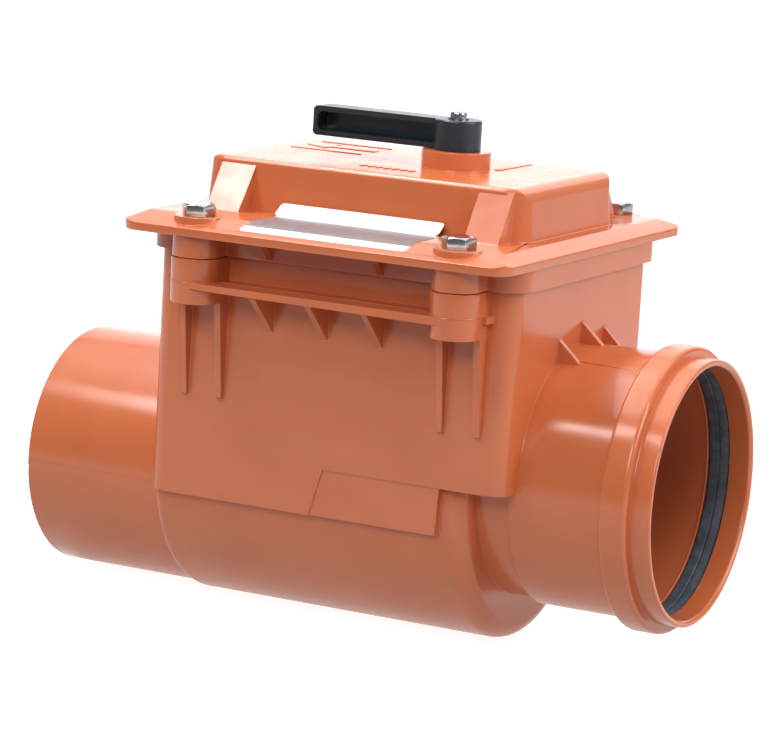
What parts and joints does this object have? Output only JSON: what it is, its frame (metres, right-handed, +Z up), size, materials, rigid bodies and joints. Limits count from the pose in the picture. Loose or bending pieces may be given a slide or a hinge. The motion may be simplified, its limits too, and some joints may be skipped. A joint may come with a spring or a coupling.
{
  "type": "backwater valve",
  "caption": "Inline drain backwater valve: boxy chamber with spigot outlet and push-fit socket inlet, bolted cover, swing flap inside and a turning lever that locks it.",
  "frame": {"origin": "centre of the outlet spigot's end face, on the outlet axis", "axes": "+X from the outlet to the inlet along the pipe run, +Z up towards the cover and lever, +Y across"},
  "size_m": [0.3108, 0.1912, 0.2311],
  "materials": {
    "terracotta_plastic": "moulded polypropylene, semi-gloss terracotta",
    "black_rubber": "matt black sealing rubber",
    "black_plastic": "moulded black-grey plastic, satin",
    "grey_plastic": "moulded grey plastic, satin",
    "zinc_steel": "zinc-plated or stainless steel",
    "brass": "turned brass"
  },
  "bodies": {
    "housing": {"valve_body": "terracotta_plastic", "socket_seal": "black_rubber", "bolt_inserts": "brass", "cover": "terracotta_plastic", "cover_gasket": "black_rubber", "cover_bolts": "zinc_steel", "seat_frame": "grey_plastic", "seat_oring": "black_rubber", "hinge_pin": "zinc_steel", "hinge_clips": "zinc_steel"},
    "flap": {"flap": "black_plastic", "flap_seal": "black_rubber", "flap_retainer": "grey_plastic", "flap_screws": "zinc_steel"},
    "lever": {"lever": "black_plastic", "lever_screw": "zinc_steel", "lever_washer": "zinc_steel", "spindle": "zinc_steel", "spindle_orings": "black_rubber", "thrust_washer": "grey_plastic", "locking_arm": "black_plastic", "arm_screw": "zinc_steel", "arm_washer": "zinc_steel"}
  },
  "joints": [
    {"name": "flap_swing", "type": "hinge", "parent": "housing", "child": "flap", "pos_m": [0.21647, 0, 0.08866], "axis": [0, 1, 0], "range_deg": [0, 60]},
    {"name": "lever_turn", "type": "hinge", "parent": "housing", "child": "lever", "pos_m": [0.18227, 0, 0.15], "axis": [0, 0, -1], "range_deg": [0, 180]}
  ]
}
